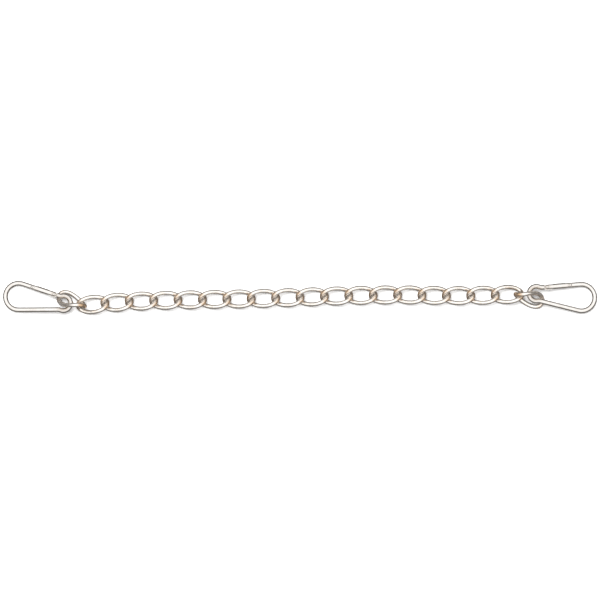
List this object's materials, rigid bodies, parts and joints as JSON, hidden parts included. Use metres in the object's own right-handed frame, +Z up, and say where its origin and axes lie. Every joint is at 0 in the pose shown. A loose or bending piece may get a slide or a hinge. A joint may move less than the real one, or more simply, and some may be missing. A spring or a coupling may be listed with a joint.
{
  "type": "curb chain",
  "caption": "Twisted-link curb chain with a pear-shaped spring snap hook at each end, for clipping a chain under a horse's chin to a curb bit.",
  "frame": {"origin": "centre of the box round the chain as it lies, on the surface it lies on", "axes": "+X along the chain towards the right-hand hook, +Y across it, +Z up from the surface"},
  "size_m": [0.335, 0.0188, 0.0105],
  "materials": {
    "nickel_plated_links": "polished",
    "nickel_plated_hooks": "polished",
    "spring_steel": "satin"
  },
  "bodies": {
    "link_01": {"link_01": "nickel_plated_links"},
    "link_02": {"link_02": "nickel_plated_links"},
    "link_03": {"link_03": "nickel_plated_links"},
    "link_04": {"link_04": "nickel_plated_links"},
    "link_05": {"link_05": "nickel_plated_links"},
    "link_06": {"link_06": "nickel_plated_links"},
    "link_07": {"link_07": "nickel_plated_links"},
    "link_08": {"link_08": "nickel_plated_links"},
    "link_09": {"link_09": "nickel_plated_links"},
    "link_10": {"link_10": "nickel_plated_links"},
    "link_11": {"link_11": "nickel_plated_links"},
    "link_12": {"link_12": "nickel_plated_links"},
    "link_13": {"link_13": "nickel_plated_links"},
    "link_14": {"link_14": "nickel_plated_links"},
    "link_15": {"link_15": "nickel_plated_links"},
    "link_16": {"link_16": "nickel_plated_links"},
    "link_17": {"link_17": "nickel_plated_links"},
    "link_18": {"link_18": "nickel_plated_links"},
    "link_19": {"link_19": "nickel_plated_links"},
    "link_20": {"link_20": "nickel_plated_links"},
    "hook_left": {"left_hook_body": "nickel_plated_hooks"},
    "gate_left": {"left_hook_gate": "nickel_plated_hooks", "left_hinge_rivet": "nickel_plated_hooks", "left_catch_pin": "nickel_plated_hooks", "left_gate_spring": "spring_steel", "left_spring_plunger": "spring_steel"},
    "hook_right": {"right_hook_body": "nickel_plated_hooks"},
    "gate_right": {"right_hook_gate": "nickel_plated_hooks", "right_hinge_rivet": "nickel_plated_hooks", "right_catch_pin": "nickel_plated_hooks", "right_gate_spring": "spring_steel", "right_spring_plunger": "spring_steel"}
  },
  "joints": [
    {"name": "sway_link_09", "type": "hinge", "parent": "link_10", "child": "link_09", "pos_m": [-0.01379, -0.00029, 0.00293], "axis": [0, 0, -1], "range_deg": [-34, 34]},
    {"name": "sway_link_08", "type": "hinge", "parent": "link_09", "child": "link_08", "pos_m": [-0.02754, -0.00065, 0.00293], "axis": [0, 0, -1], "range_deg": [-34, 34]},
    {"name": "tilt_link_07", "type": "hinge", "parent": "link_08", "child": "link_07", "pos_m": [-0.04128, -0.00089, 0.00293], "axis": [-0.0175, 0.9998, 0], "range_deg": [-34, 34]},
    {"name": "tilt_link_06", "type": "hinge", "parent": "link_07", "child": "link_06", "pos_m": [-0.05503, -0.00113, 0.00293], "axis": [0.0175, -0.9998, 0], "range_deg": [-34, 34]},
    {"name": "sway_link_05", "type": "hinge", "parent": "link_06", "child": "link_05", "pos_m": [-0.06878, -0.00137, 0.00293], "axis": [0, 0, -1], "range_deg": [-34, 34]},
    {"name": "sway_link_04", "type": "hinge", "parent": "link_05", "child": "link_04", "pos_m": [-0.08252, -0.00173, 0.00293], "axis": [0, 0, -1], "range_deg": [-34, 34]},
    {"name": "tilt_link_03", "type": "hinge", "parent": "link_04", "child": "link_03", "pos_m": [-0.09627, -0.00221, 0.00293], "axis": [0.0349, -0.9994, 0], "range_deg": [-34, 34]},
    {"name": "tilt_link_02", "type": "hinge", "parent": "link_03", "child": "link_02", "pos_m": [-0.10998, -0.00317, 0.00293], "axis": [-0.0698, 0.9976, 0], "range_deg": [-34, 34]},
    {"name": "sway_link_01", "type": "hinge", "parent": "link_02", "child": "link_01", "pos_m": [-0.12366, -0.0046, 0.00293], "axis": [0, 0, 1], "range_deg": [-55, 12]},
    {"name": "sway_link_11", "type": "hinge", "parent": "link_10", "child": "link_11", "pos_m": [-0.00005, 0.00019, 0.00293], "axis": [0, 0, -1], "range_deg": [-34, 34]},
    {"name": "sway_link_12", "type": "hinge", "parent": "link_11", "child": "link_12", "pos_m": [0.01369, 0.00067, 0.00293], "axis": [0, 0, -1], "range_deg": [-34, 34]},
    {"name": "tilt_link_13", "type": "hinge", "parent": "link_12", "child": "link_13", "pos_m": [0.02743, 0.00115, 0.00293], "axis": [0.0349, -0.9994, 0], "range_deg": [-34, 34]},
    {"name": "tilt_link_14", "type": "hinge", "parent": "link_13", "child": "link_14", "pos_m": [0.04118, 0.00139, 0.00293], "axis": [-0.0175, 0.9998, 0], "range_deg": [-34, 34]},
    {"name": "sway_link_15", "type": "hinge", "parent": "link_14", "child": "link_15", "pos_m": [0.05493, 0.00163, 0.00293], "axis": [0, 0, 1], "range_deg": [-34, 34]},
    {"name": "sway_link_16", "type": "hinge", "parent": "link_15", "child": "link_16", "pos_m": [0.06868, 0.00139, 0.00293], "axis": [0, 0, 1], "range_deg": [-34, 34]},
    {"name": "tilt_link_17", "type": "hinge", "parent": "link_16", "child": "link_17", "pos_m": [0.08243, 0.00115, 0.00293], "axis": [0.0175, 0.9998, 0], "range_deg": [-34, 34]},
    {"name": "tilt_link_18", "type": "hinge", "parent": "link_17", "child": "link_18", "pos_m": [0.09618, 0.00115, 0.00293], "axis": [0, -1, 0], "range_deg": [-34, 34]},
    {"name": "sway_link_19", "type": "hinge", "parent": "link_18", "child": "link_19", "pos_m": [0.10992, 0.00151, 0.00293], "axis": [0, 0, -1], "range_deg": [-34, 34]},
    {"name": "sway_link_20", "type": "hinge", "parent": "link_19", "child": "link_20", "pos_m": [0.12366, 0.00199, 0.00293], "axis": [0, 0, -1], "range_deg": [-8, 60]},
    {"name": "hook_left_swing", "type": "hinge", "parent": "link_01", "child": "hook_left", "pos_m": [-0.13323, -0.0032, 0.0042], "axis": [0.0849, -0.0127, -0.9963], "range_deg": [-22, 58]},
    {"name": "gate_left_pivot", "type": "hinge", "parent": "hook_left", "child": "gate_left", "pos_m": [-0.13849, 0.00192, 0.00369], "axis": [-0.0849, 0.0127, 0.9963], "range_deg": [0, 45], "stiffness_Nm_per_rad": 0.008, "springref_deg": -20.05},
    {"name": "hook_right_swing", "type": "hinge", "parent": "link_20", "child": "hook_right", "pos_m": [0.13303, 0.00221, 0.0042], "axis": [0.0855, -0.0073, 0.9963], "range_deg": [-51, 18]},
    {"name": "gate_right_pivot", "type": "hinge", "parent": "hook_right", "child": "gate_right", "pos_m": [0.13933, 0.00597, 0.00369], "axis": [-0.0855, 0.0073, -0.9963], "range_deg": [0, 45], "stiffness_Nm_per_rad": 0.008, "springref_deg": -20.05}
  ]
}
